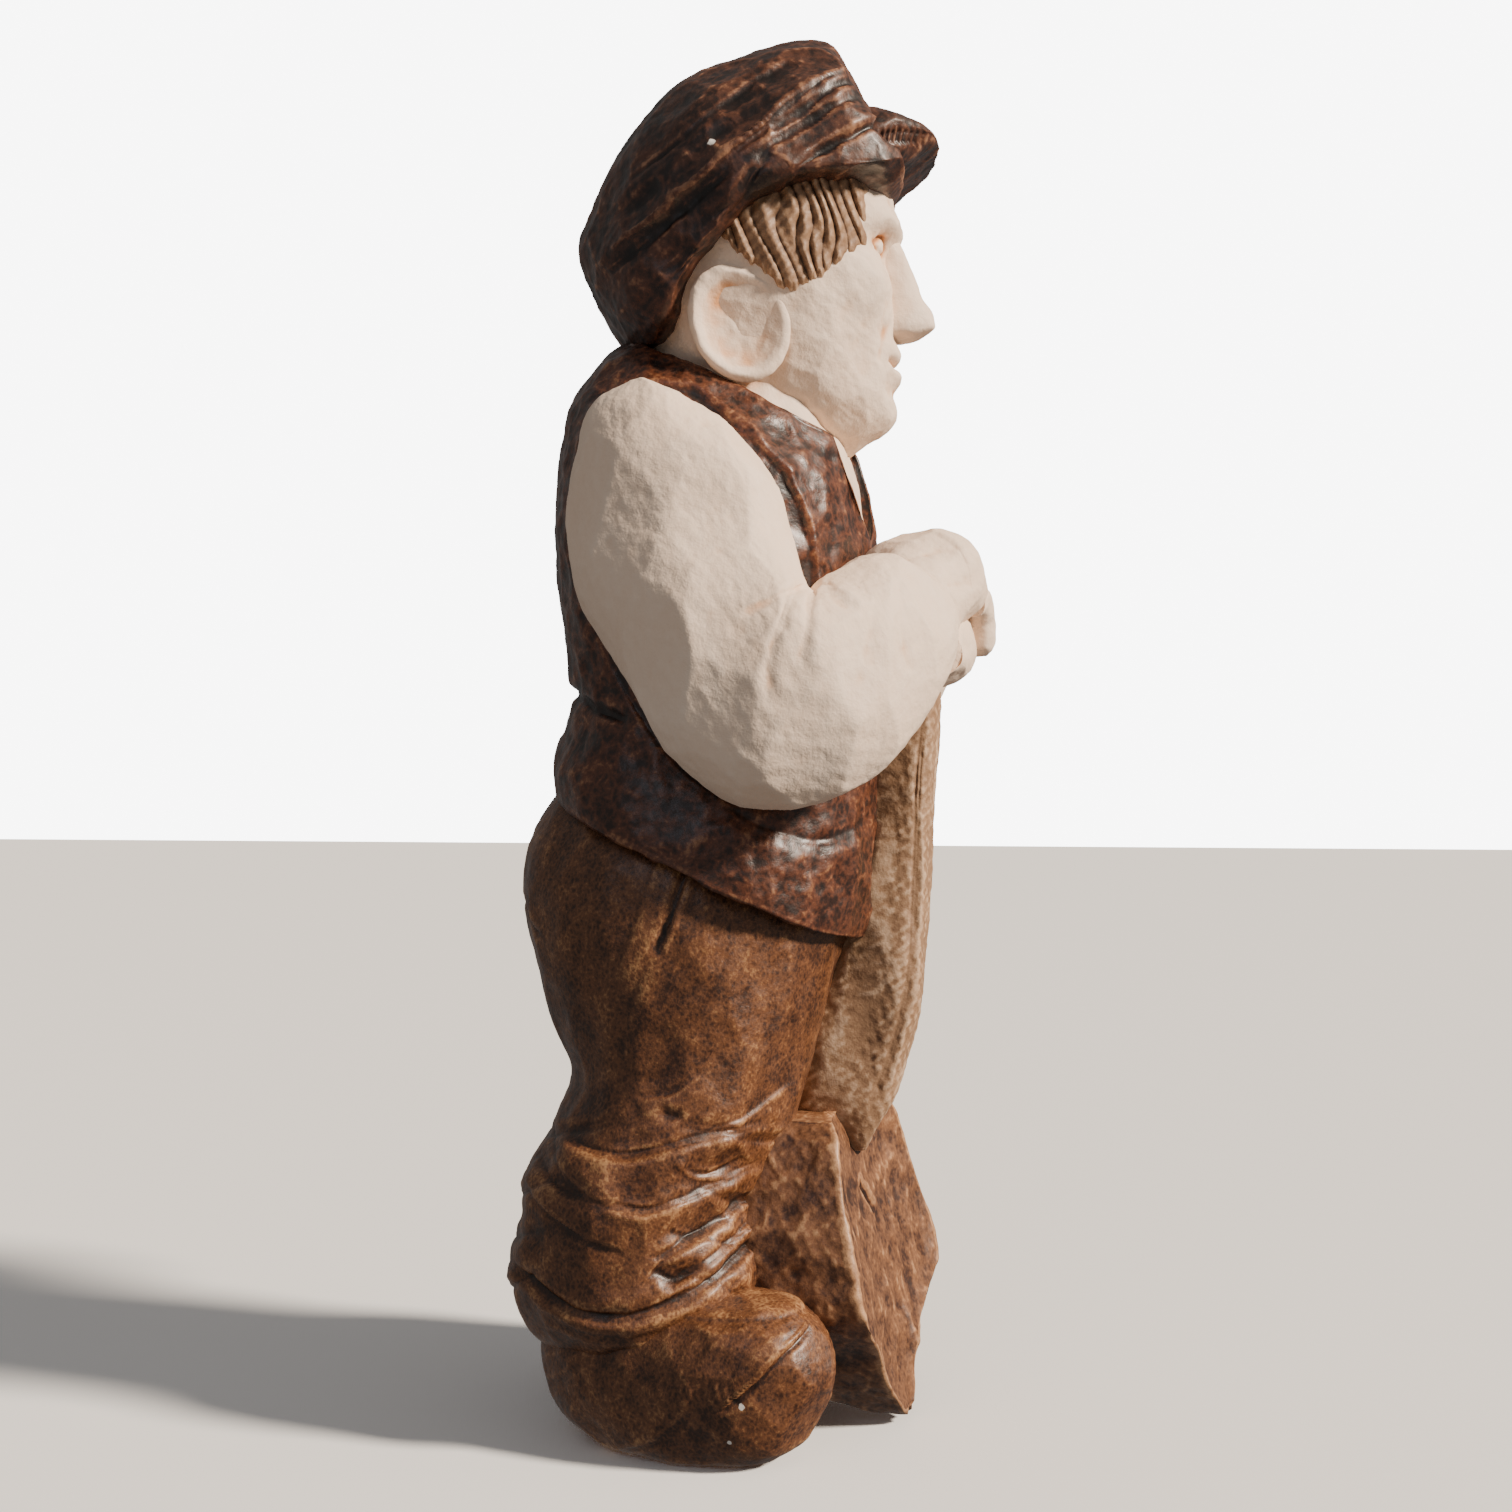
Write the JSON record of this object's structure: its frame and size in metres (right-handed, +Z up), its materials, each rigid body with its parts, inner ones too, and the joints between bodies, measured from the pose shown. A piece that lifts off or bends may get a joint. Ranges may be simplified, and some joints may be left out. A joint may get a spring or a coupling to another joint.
{
  "type": "carved workman figurine",
  "caption": "Free-standing carved statuette of a working man in a flat cap and waistcoat, leaning with stacked hands on an upright shovel.",
  "frame": {"origin": "on the ground under the middle of the figure", "axes": "+Z up, the figure faces -Y, his left side is +X"},
  "size_m": [0.127, 0.1056, 0.2993],
  "materials": {
    "stained_cap": "dark brown stain, knife-cut, lacquered",
    "stained_vest": "dark brown stain, hammered texture, lacquered",
    "stained_trousers": "golden brown stain with dark recesses, satin lacquer",
    "cream_paint": "matt cream paint with a peach wash in the recesses",
    "taupe_stain": "thin taupe stain, matt",
    "dowel_wood": "bare beech dowel"
  },
  "bodies": {
    "root": {"cap_crown": "stained_cap", "cap_peak": "stained_cap", "head": "cream_paint", "hair_right": "taupe_stain", "hair_left": "taupe_stain", "shirt_front": "cream_paint", "vest": "stained_vest", "right_sleeve": "cream_paint", "left_sleeve": "cream_paint", "right_hand": "cream_paint", "left_hand": "cream_paint", "trousers": "stained_trousers", "right_shoe": "stained_trousers", "left_shoe": "stained_trousers", "shovel_handle": "taupe_stain", "shovel_blade": "stained_vest", "waist_dowel": "dowel_wood", "neck_dowel": "dowel_wood", "cap_dowel": "dowel_wood", "shoulder_dowels": "dowel_wood", "wrist_dowels": "dowel_wood", "shoe_dowels": "dowel_wood", "grip_dowel": "dowel_wood", "handle_dowel": "dowel_wood", "blade_dowel": "dowel_wood"}
  },
  "joints": []
}
